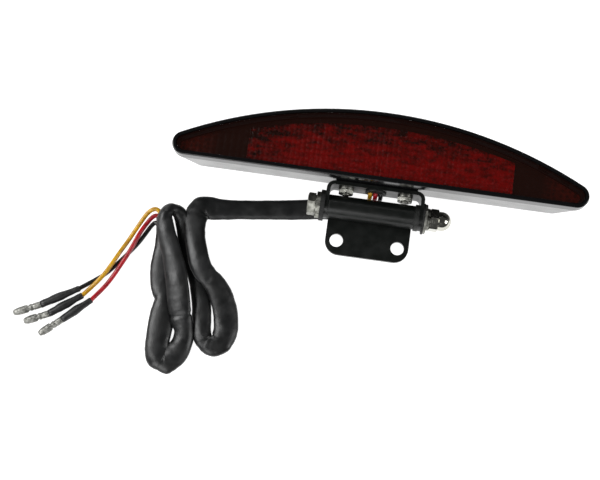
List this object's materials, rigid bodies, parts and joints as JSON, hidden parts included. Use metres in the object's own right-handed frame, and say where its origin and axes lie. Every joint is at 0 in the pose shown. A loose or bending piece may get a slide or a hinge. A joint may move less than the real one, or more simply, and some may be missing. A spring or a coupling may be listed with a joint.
{
  "type": "motorcycle tail light with swivelling mounting plate",
  "caption": "Slim crescent LED tail light with a red lens, a clevis bracket, a swivelling two-hole mounting plate and a sleeved three-wire cable.",
  "frame": {"origin": "on the surface it lies on, midway along the lamp, in the plane of the lamp's straight underside", "axes": "+X along the lamp (cap nut side), +Y towards the lamp's arched top edge, +Z out through the lens"},
  "size_m": [0.2681, 0.1374, 0.028],
  "materials": {
    "black_abs": "gloss",
    "red_lens": "gloss, clear red",
    "black_rubber": "matte",
    "metallised_tray": "bright metallised",
    "circuit_board": "satin",
    "led_epoxy": "gloss",
    "resistor_coat": "satin",
    "diode_case": "matte",
    "zinc_steel": "bright zinc",
    "chrome_nut": "polished",
    "black_powder_coat": "satin",
    "nylon_bush": "satin",
    "black_pvc_sleeve": "satin",
    "yellow_wire": "gloss",
    "red_wire": "gloss",
    "black_wire": "gloss",
    "shrink_boot": "satin",
    "tinned_brass": "tinned"
  },
  "bodies": {
    "lamp": {"housing": "black_abs", "lens": "red_lens", "lens_seal": "black_rubber", "black_washer_left": "black_rubber", "black_washer_right": "black_rubber", "cable_grommet": "black_rubber", "reflector_tray": "metallised_tray", "circuit_board": "circuit_board", "leds": "led_epoxy", "resistors": "resistor_coat", "input_diodes": "diode_case", "board_screws": "zinc_steel", "bracket_studs": "zinc_steel", "stud_lock_washers": "zinc_steel", "stud_nuts": "zinc_steel", "spring_washer": "zinc_steel", "pivot_bolt": "zinc_steel", "steel_washer_left": "zinc_steel", "steel_washer_right": "zinc_steel", "cap_nut": "chrome_nut", "clevis_bracket": "black_powder_coat", "spacer_washer": "nylon_bush", "cable_sleeve": "black_pvc_sleeve", "cable_hank": "black_pvc_sleeve", "wire_yellow": "yellow_wire", "lead_yellow": "yellow_wire", "wire_red": "red_wire", "lead_red": "red_wire", "wire_black": "black_wire", "lead_black": "black_wire", "boot_yellow": "shrink_boot", "boot_red": "shrink_boot", "boot_black": "shrink_boot", "bullet_yellow": "tinned_brass", "bullet_red": "tinned_brass", "bullet_black": "tinned_brass"},
    "mount": {"mount_plate": "black_powder_coat", "bush_left": "nylon_bush", "bush_right": "nylon_bush"}
  },
  "joints": [
    {"name": "plate_pivot", "type": "hinge", "parent": "lamp", "child": "mount", "pos_m": [0, -0.0118, 0.0118], "axis": [-1, 0, 0], "range_deg": [-12, 120]}
  ]
}
